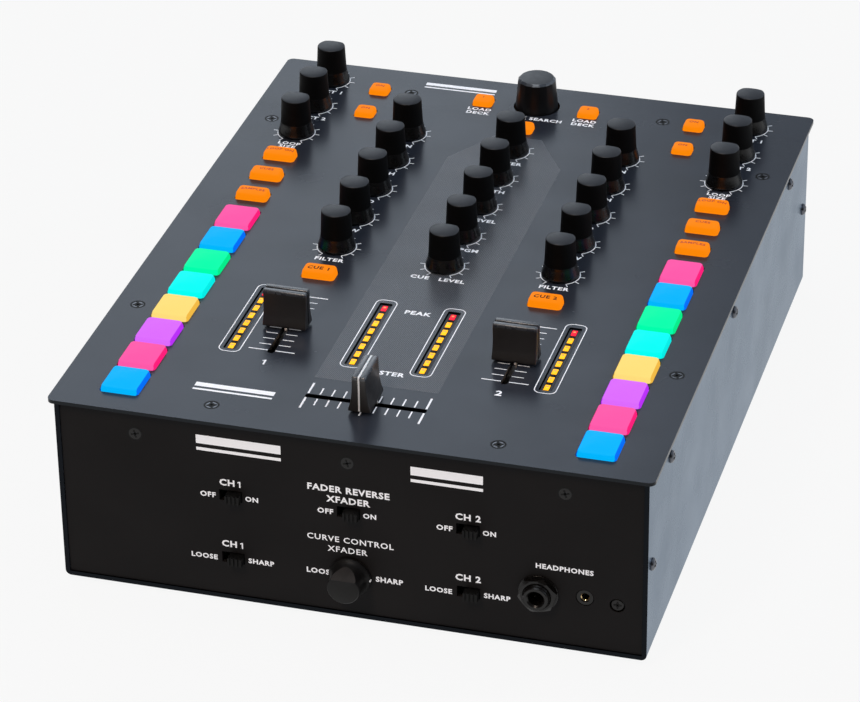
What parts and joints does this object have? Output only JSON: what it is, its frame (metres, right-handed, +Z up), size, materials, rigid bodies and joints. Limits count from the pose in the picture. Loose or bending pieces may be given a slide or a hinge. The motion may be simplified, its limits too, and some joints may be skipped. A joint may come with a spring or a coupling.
{
  "type": "dj mixer",
  "caption": "Compact DJ mixer: folded sheet case, overhanging top plate with rotary knobs, faders, lit pads and buttons, front headphone sockets and rear inputs.",
  "frame": {"origin": "middle of the footprint at the feet's underside (bounding box's bottom centre)", "axes": "+X to the user's right, +Y from the user to the rear sockets, +Z up out of the control surface"},
  "size_m": [0.254, 0.344, 0.108],
  "materials": {
    "plate": "satin",
    "case_sheet": "satin",
    "panel": "satin",
    "zinc": "satin",
    "foot": "matte",
    "screw": "satin",
    "board": "matte",
    "pot": "satin",
    "fader_shell": "satin",
    "led": "gloss",
    "jack": "polished",
    "socket": "satin",
    "knob": "satin",
    "fader_cap": "satin",
    "switch_tip": "matte",
    "shaft": "satin",
    "orange": "gloss",
    "pad_blue": "satin",
    "pad_purple": "satin",
    "pad_cyan": "satin",
    "pad_pink": "satin"
  },
  "bodies": {
    "case": {"top_plate": "plate", "inner_frame": "zinc", "chassis": "case_sheet", "front_panel": "panel", "rear_panel": "panel", "rubber_feet": "foot", "countersunk_screws": "screw", "button_head_screws": "screw", "circuit_boards": "board", "potentiometers": "pot", "fader_units": "fader_shell", "meter_leds": "led", "headphone_jacks": "jack", "rear_sockets": "socket"},
    "left_fader": {"left_fader": "fader_cap"},
    "right_fader": {"right_fader": "fader_cap"},
    "crossfader": {"crossfader": "fader_cap"},
    "ch1_reverse_switch": {"ch1_reverse_switch": "switch_tip"},
    "crossfader_reverse_switch": {"crossfader_reverse_switch": "switch_tip"},
    "ch2_reverse_switch": {"ch2_reverse_switch": "switch_tip"},
    "ch1_curve_switch": {"ch1_curve_switch": "switch_tip"},
    "ch2_curve_switch": {"ch2_curve_switch": "switch_tip"},
    "left_pads_1": {"left_pads_1": "pad_blue"},
    "left_pads_2": {"left_pads_2": "pad_purple"},
    "left_pads_3": {"left_pads_3": "pad_cyan"},
    "left_pads_4": {"left_pads_4": "pad_pink"},
    "right_pads_1": {"right_pads_1": "pad_blue"},
    "right_pads_2": {"right_pads_2": "pad_purple"},
    "right_pads_3": {"right_pads_3": "pad_cyan"},
    "right_pads_4": {"right_pads_4": "pad_pink"},
    "mode_buttons_left": {"mode_buttons_left": "orange"},
    "mode_buttons_right": {"mode_buttons_right": "orange"},
    "on_buttons": {"on_buttons": "orange"},
    "deck_buttons": {"deck_buttons": "orange"},
    "cue_buttons": {"cue_buttons": "orange"},
    "search_plunger": {"search_plunger": "shaft"},
    "search_knob": {"search_knob": "knob"},
    "curve_knob": {"curve_knob": "knob"},
    "power_button": {"power_button": "knob"},
    "ch1_gain_knob": {"ch1_gain_knob": "knob"},
    "ch1_high_knob": {"ch1_high_knob": "knob"},
    "ch1_mid_knob": {"ch1_mid_knob": "knob"},
    "ch1_low_knob": {"ch1_low_knob": "knob"},
    "ch1_filter_knob": {"ch1_filter_knob": "knob"},
    "ch2_gain_knob": {"ch2_gain_knob": "knob"},
    "ch2_high_knob": {"ch2_high_knob": "knob"},
    "ch2_mid_knob": {"ch2_mid_knob": "knob"},
    "ch2_low_knob": {"ch2_low_knob": "knob"},
    "ch2_filter_knob": {"ch2_filter_knob": "knob"},
    "master_knob": {"master_knob": "knob"},
    "booth_knob": {"booth_knob": "knob"},
    "mic_level_knob": {"mic_level_knob": "knob"},
    "cue_mix_knob": {"cue_mix_knob": "knob"},
    "cue_level_knob": {"cue_level_knob": "knob"},
    "left_effect_knob": {"left_effect_knob": "knob"},
    "left_depth_knob": {"left_depth_knob": "knob"},
    "left_loop_knob": {"left_loop_knob": "knob"},
    "right_effect_knob": {"right_effect_knob": "knob"},
    "right_depth_knob": {"right_depth_knob": "knob"},
    "right_loop_knob": {"right_loop_knob": "knob"}
  },
  "joints": [
    {"name": "left_fader_slide", "type": "slide", "parent": "case", "child": "left_fader", "axis": [0, 1, 0], "range_m": [-0.0206, 0.0244]},
    {"name": "right_fader_slide", "type": "slide", "parent": "case", "child": "right_fader", "axis": [0, 1, 0], "range_m": [-0.0173, 0.0277]},
    {"name": "crossfader_slide", "type": "slide", "parent": "case", "child": "crossfader", "axis": [1, 0, 0], "range_m": [-0.0225, 0.0225]},
    {"name": "ch1_reverse_switch_slide", "type": "slide", "parent": "case", "child": "ch1_reverse_switch", "axis": [1, 0, 0], "range_m": [-0.0032, 0]},
    {"name": "crossfader_reverse_switch_slide", "type": "slide", "parent": "case", "child": "crossfader_reverse_switch", "axis": [1, 0, 0], "range_m": [-0.0032, 0]},
    {"name": "ch2_reverse_switch_slide", "type": "slide", "parent": "case", "child": "ch2_reverse_switch", "axis": [1, 0, 0], "range_m": [-0.0032, 0]},
    {"name": "ch1_curve_switch_slide", "type": "slide", "parent": "case", "child": "ch1_curve_switch", "axis": [1, 0, 0], "range_m": [-0.0032, 0]},
    {"name": "ch2_curve_switch_slide", "type": "slide", "parent": "case", "child": "ch2_curve_switch", "axis": [1, 0, 0], "range_m": [-0.0032, 0]},
    {"name": "left_pads_1_press", "type": "slide", "parent": "case", "child": "left_pads_1", "axis": [0, 0, -1], "range_m": [0, 0.0008], "stiffness_N_per_m": 1500},
    {"name": "left_pads_2_press", "type": "slide", "parent": "case", "child": "left_pads_2", "axis": [0, 0, -1], "range_m": [0, 0.0008], "stiffness_N_per_m": 1500},
    {"name": "left_pads_3_press", "type": "slide", "parent": "case", "child": "left_pads_3", "axis": [0, 0, -1], "range_m": [0, 0.0008], "stiffness_N_per_m": 1500},
    {"name": "left_pads_4_press", "type": "slide", "parent": "case", "child": "left_pads_4", "axis": [0, 0, -1], "range_m": [0, 0.0008], "stiffness_N_per_m": 1500},
    {"name": "right_pads_1_press", "type": "slide", "parent": "case", "child": "right_pads_1", "axis": [0, 0, -1], "range_m": [0, 0.0008], "stiffness_N_per_m": 1500},
    {"name": "right_pads_2_press", "type": "slide", "parent": "case", "child": "right_pads_2", "axis": [0, 0, -1], "range_m": [0, 0.0008], "stiffness_N_per_m": 1500},
    {"name": "right_pads_3_press", "type": "slide", "parent": "case", "child": "right_pads_3", "axis": [0, 0, -1], "range_m": [0, 0.0008], "stiffness_N_per_m": 1500},
    {"name": "right_pads_4_press", "type": "slide", "parent": "case", "child": "right_pads_4", "axis": [0, 0, -1], "range_m": [0, 0.0008], "stiffness_N_per_m": 1500},
    {"name": "mode_buttons_left_press", "type": "slide", "parent": "case", "child": "mode_buttons_left", "axis": [0, 0, -1], "range_m": [0, 0.0005], "stiffness_N_per_m": 2000},
    {"name": "mode_buttons_right_press", "type": "slide", "parent": "case", "child": "mode_buttons_right", "axis": [0, 0, -1], "range_m": [0, 0.0005], "stiffness_N_per_m": 2000},
    {"name": "on_buttons_press", "type": "slide", "parent": "case", "child": "on_buttons", "axis": [0, 0, -1], "range_m": [0, 0.0005], "stiffness_N_per_m": 2000},
    {"name": "deck_buttons_press", "type": "slide", "parent": "case", "child": "deck_buttons", "axis": [0, 0, -1], "range_m": [0, 0.0005], "stiffness_N_per_m": 2000},
    {"name": "cue_buttons_press", "type": "slide", "parent": "case", "child": "cue_buttons", "axis": [0, 0, -1], "range_m": [0, 0.0005], "stiffness_N_per_m": 2000},
    {"name": "search_press", "type": "slide", "parent": "case", "child": "search_plunger", "axis": [0, 0, -1], "range_m": [0, 0.0005], "stiffness_N_per_m": 3000},
    {"name": "search_turn", "type": "hinge", "parent": "search_plunger", "child": "search_knob", "pos_m": [0, 0.14295, 0.0891], "axis": [0, 0, 1], "continuous": true},
    {"name": "curve_turn", "type": "hinge", "parent": "case", "child": "curve_knob", "pos_m": [0.0002, -0.16105, 0.0229], "axis": [0, 1, 0], "range_deg": [-150, 150]},
    {"name": "power_press", "type": "slide", "parent": "case", "child": "power_button", "axis": [0, -1, 0], "range_m": [0, 0.002], "stiffness_N_per_m": 800},
    {"name": "ch1_gain_turn", "type": "hinge", "parent": "case", "child": "ch1_gain_knob", "pos_m": [-0.0501, 0.10075, 0.0891], "axis": [0, 0, 1], "range_deg": [-150, 150]},
    {"name": "ch1_high_turn", "type": "hinge", "parent": "case", "child": "ch1_high_knob", "pos_m": [-0.0501, 0.07295, 0.0891], "axis": [0, 0, 1], "range_deg": [-150, 150]},
    {"name": "ch1_mid_turn", "type": "hinge", "parent": "case", "child": "ch1_mid_knob", "pos_m": [-0.0501, 0.04515, 0.0891], "axis": [0, 0, 1], "range_deg": [-150, 150]},
    {"name": "ch1_low_turn", "type": "hinge", "parent": "case", "child": "ch1_low_knob", "pos_m": [-0.0501, 0.01735, 0.0891], "axis": [0, 0, 1], "range_deg": [-150, 150]},
    {"name": "ch1_filter_turn", "type": "hinge", "parent": "case", "child": "ch1_filter_knob", "pos_m": [-0.0501, -0.01045, 0.0891], "axis": [0, 0, 1], "range_deg": [-150, 150]},
    {"name": "ch2_gain_turn", "type": "hinge", "parent": "case", "child": "ch2_gain_knob", "pos_m": [0.0501, 0.10075, 0.0891], "axis": [0, 0, 1], "range_deg": [-150, 150]},
    {"name": "ch2_high_turn", "type": "hinge", "parent": "case", "child": "ch2_high_knob", "pos_m": [0.0501, 0.07295, 0.0891], "axis": [0, 0, 1], "range_deg": [-150, 150]},
    {"name": "ch2_mid_turn", "type": "hinge", "parent": "case", "child": "ch2_mid_knob", "pos_m": [0.0501, 0.04515, 0.0891], "axis": [0, 0, 1], "range_deg": [-150, 150]},
    {"name": "ch2_low_turn", "type": "hinge", "parent": "case", "child": "ch2_low_knob", "pos_m": [0.0501, 0.01735, 0.0891], "axis": [0, 0, 1], "range_deg": [-150, 150]},
    {"name": "ch2_filter_turn", "type": "hinge", "parent": "case", "child": "ch2_filter_knob", "pos_m": [0.0501, -0.01045, 0.0891], "axis": [0, 0, 1], "range_deg": [-150, 150]},
    {"name": "master_turn", "type": "hinge", "parent": "case", "child": "master_knob", "pos_m": [0, 0.09575, 0.0891], "axis": [0, 0, 1], "range_deg": [-150, 150]},
    {"name": "booth_turn", "type": "hinge", "parent": "case", "child": "booth_knob", "pos_m": [0, 0.06795, 0.0891], "axis": [0, 0, 1], "range_deg": [-150, 150]},
    {"name": "mic_level_turn", "type": "hinge", "parent": "case", "child": "mic_level_knob", "pos_m": [0, 0.04015, 0.0891], "axis": [0, 0, 1], "range_deg": [-150, 150]},
    {"name": "cue_mix_turn", "type": "hinge", "parent": "case", "child": "cue_mix_knob", "pos_m": [0, 0.01235, 0.0891], "axis": [0, 0, 1], "range_deg": [-150, 150]},
    {"name": "cue_level_turn", "type": "hinge", "parent": "case", "child": "cue_level_knob", "pos_m": [0, -0.01545, 0.0891], "axis": [0, 0, 1], "range_deg": [-150, 150]},
    {"name": "left_effect_turn", "type": "hinge", "parent": "case", "child": "left_effect_knob", "pos_m": [-0.1001, 0.14505, 0.0891], "axis": [0, 0, 1], "range_deg": [-150, 150]},
    {"name": "left_depth_turn", "type": "hinge", "parent": "case", "child": "left_depth_knob", "pos_m": [-0.1001, 0.11725, 0.0891], "axis": [0, 0, 1], "range_deg": [-150, 150]},
    {"name": "left_loop_turn", "type": "hinge", "parent": "case", "child": "left_loop_knob", "pos_m": [-0.1001, 0.08945, 0.0891], "axis": [0, 0, 1], "range_deg": [-150, 150]},
    {"name": "right_effect_turn", "type": "hinge", "parent": "case", "child": "right_effect_knob", "pos_m": [0.1001, 0.14505, 0.0891], "axis": [0, 0, 1], "range_deg": [-150, 150]},
    {"name": "right_depth_turn", "type": "hinge", "parent": "case", "child": "right_depth_knob", "pos_m": [0.1001, 0.11725, 0.0891], "axis": [0, 0, 1], "range_deg": [-150, 150]},
    {"name": "right_loop_turn", "type": "hinge", "parent": "case", "child": "right_loop_knob", "pos_m": [0.1001, 0.08945, 0.0891], "axis": [0, 0, 1], "range_deg": [-150, 150]}
  ]
}
